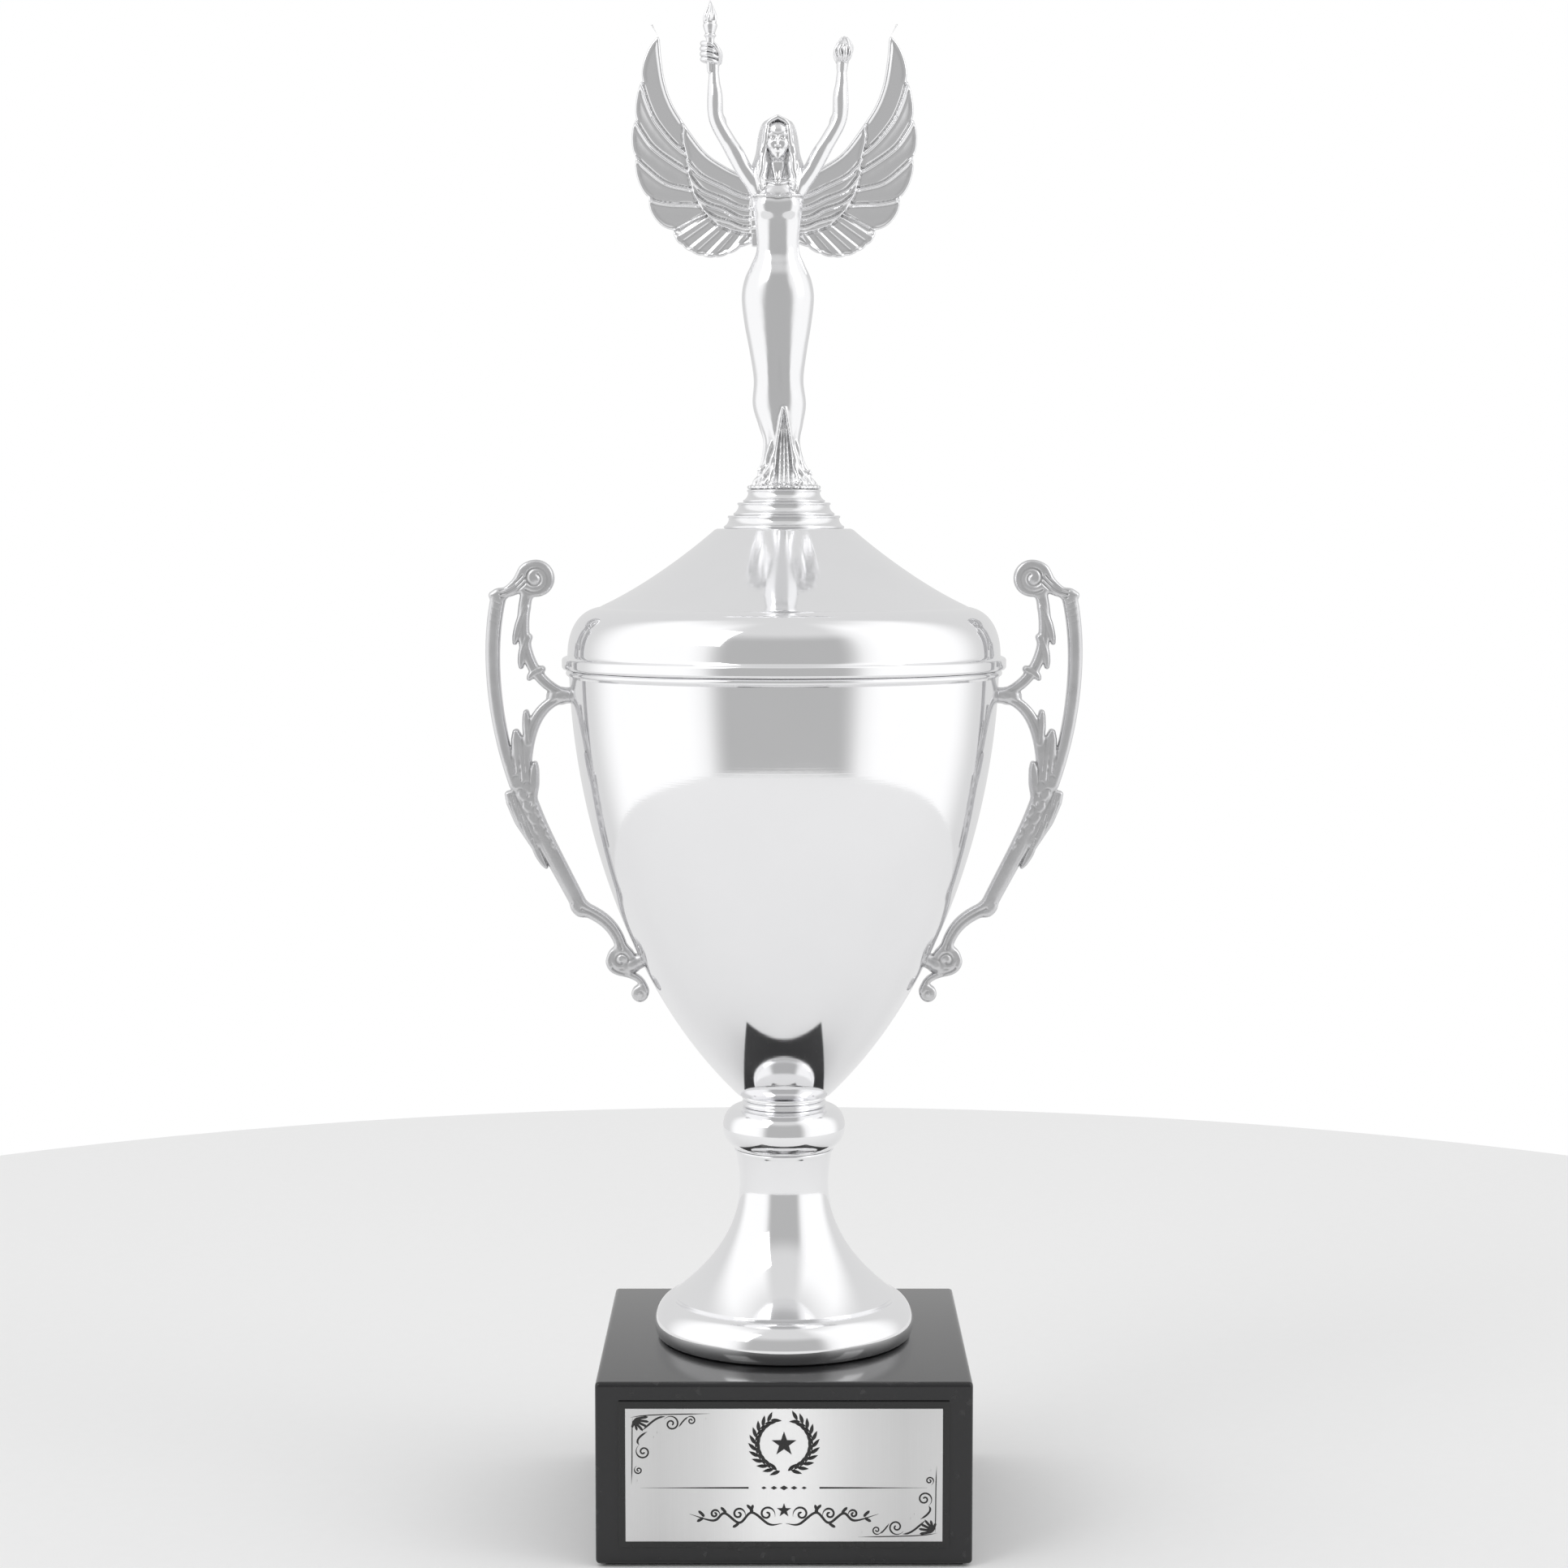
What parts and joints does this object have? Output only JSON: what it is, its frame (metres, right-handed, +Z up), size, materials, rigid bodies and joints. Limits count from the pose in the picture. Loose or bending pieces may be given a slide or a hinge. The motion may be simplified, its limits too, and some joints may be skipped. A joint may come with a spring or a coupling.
{
  "type": "figure trophy",
  "caption": "Silver loving-cup trophy on a stone block, with scrolled handles and a lift-off lid that carries a winged figure holding a torch aloft.",
  "frame": {"origin": "middle of the felt's underside, where the trophy stands", "axes": "+Z up, -Y towards the front, where the plate and the figure face, +X to the right seen from the front"},
  "size_m": [0.1668, 0.124, 0.4239],
  "materials": {
    "felt": "napped felt",
    "stone": "polished black stone",
    "plate_border": "satin black",
    "plate_silver": "brushed",
    "polished_silver": "mirror",
    "cast_silver": "satin casting",
    "ring_silver": "turned",
    "figure_silver": "bright metallised",
    "fastener_steel": "zinc plated"
  },
  "bodies": {
    "cup": {"felt_pad": "felt", "stone_base": "stone", "border_plate": "plate_border", "award_plate": "plate_silver", "pedestal": "polished_silver", "knop": "polished_silver", "neck_collar": "polished_silver", "bowl": "polished_silver", "left_handle": "cast_silver", "right_handle": "cast_silver", "handle_screws": "fastener_steel", "handle_washers": "fastener_steel", "centre_rod": "fastener_steel", "rod_lower_washer": "fastener_steel", "rod_lower_nut": "fastener_steel", "rod_upper_washer": "fastener_steel", "rod_upper_nut": "fastener_steel"},
    "lid": {"lid": "polished_silver", "lid_ring": "ring_silver"},
    "figure": {"figure_plinth": "figure_silver", "figure_body": "figure_silver", "left_wing": "figure_silver", "right_wing": "figure_silver", "left_arm": "figure_silver", "right_arm": "figure_silver", "figure_stud": "fastener_steel", "stud_washer": "fastener_steel", "stud_nut": "fastener_steel"}
  },
  "joints": [
    {"name": "lid_lift", "type": "slide", "parent": "cup", "child": "lid", "axis": [0, 0, 1], "range_m": [0, 0.06]},
    {"name": "figure_turn", "type": "hinge", "parent": "lid", "child": "figure", "pos_m": [0, 0, 0.279], "axis": [0, 0, 1], "continuous": true}
  ]
}
